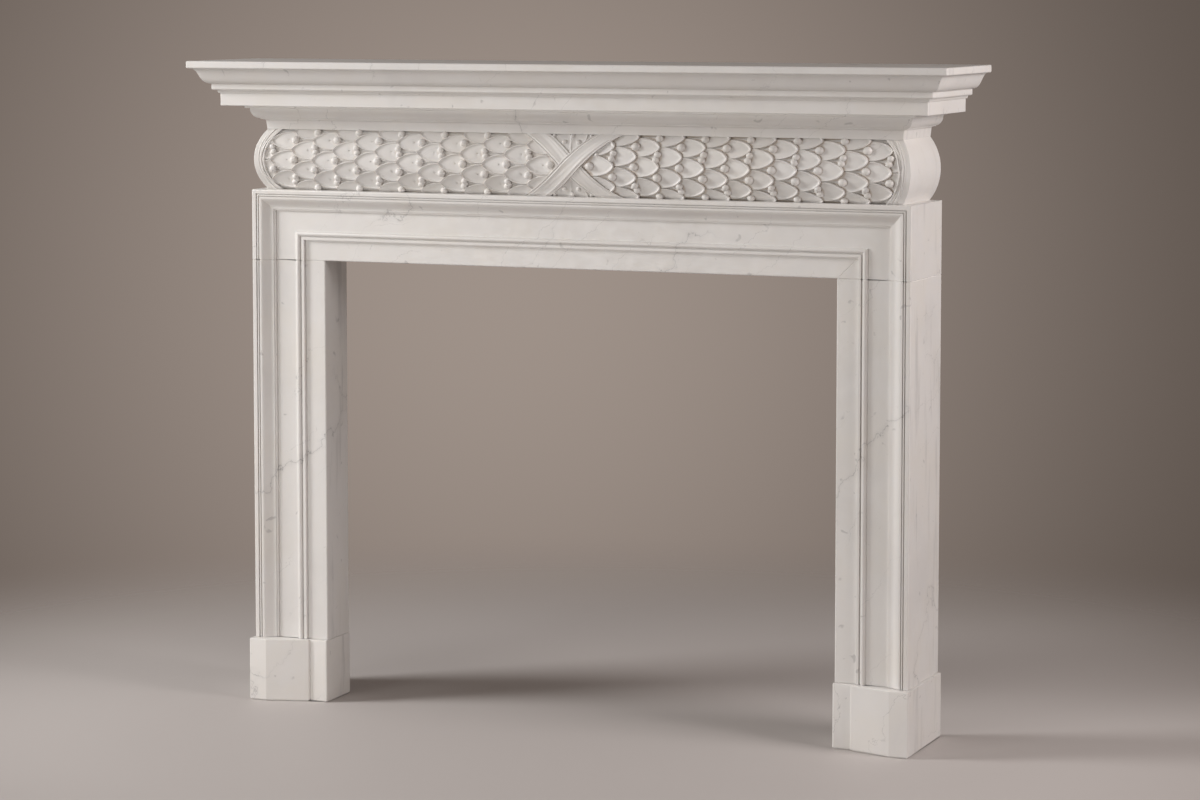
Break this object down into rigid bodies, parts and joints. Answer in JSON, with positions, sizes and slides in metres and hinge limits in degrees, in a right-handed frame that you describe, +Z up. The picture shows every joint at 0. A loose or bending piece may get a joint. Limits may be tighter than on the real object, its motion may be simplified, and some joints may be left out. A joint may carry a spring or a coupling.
{
  "type": "fireplace mantel",
  "caption": "Carved stone fireplace mantel: moulded jambs and head on plinth blocks, swelling laurel-leaf frieze with crossed ribbons, bed mould and shelf.",
  "frame": {"origin": "on the floor, under the middle of the mantel's overall box", "axes": "+X across the opening to the right seen from the room, +Y from the room towards the wall, +Z up"},
  "size_m": [1.546, 0.283, 1.2727],
  "materials": {
    "marble": "honed white marble with faint grey veins"
  },
  "bodies": {
    "root": {"shelf": "marble", "bed_mould": "marble", "frieze": "marble", "head": "marble", "jamb_left": "marble", "jamb_right": "marble", "plinth_left": "marble", "plinth_right": "marble"}
  },
  "joints": []
}
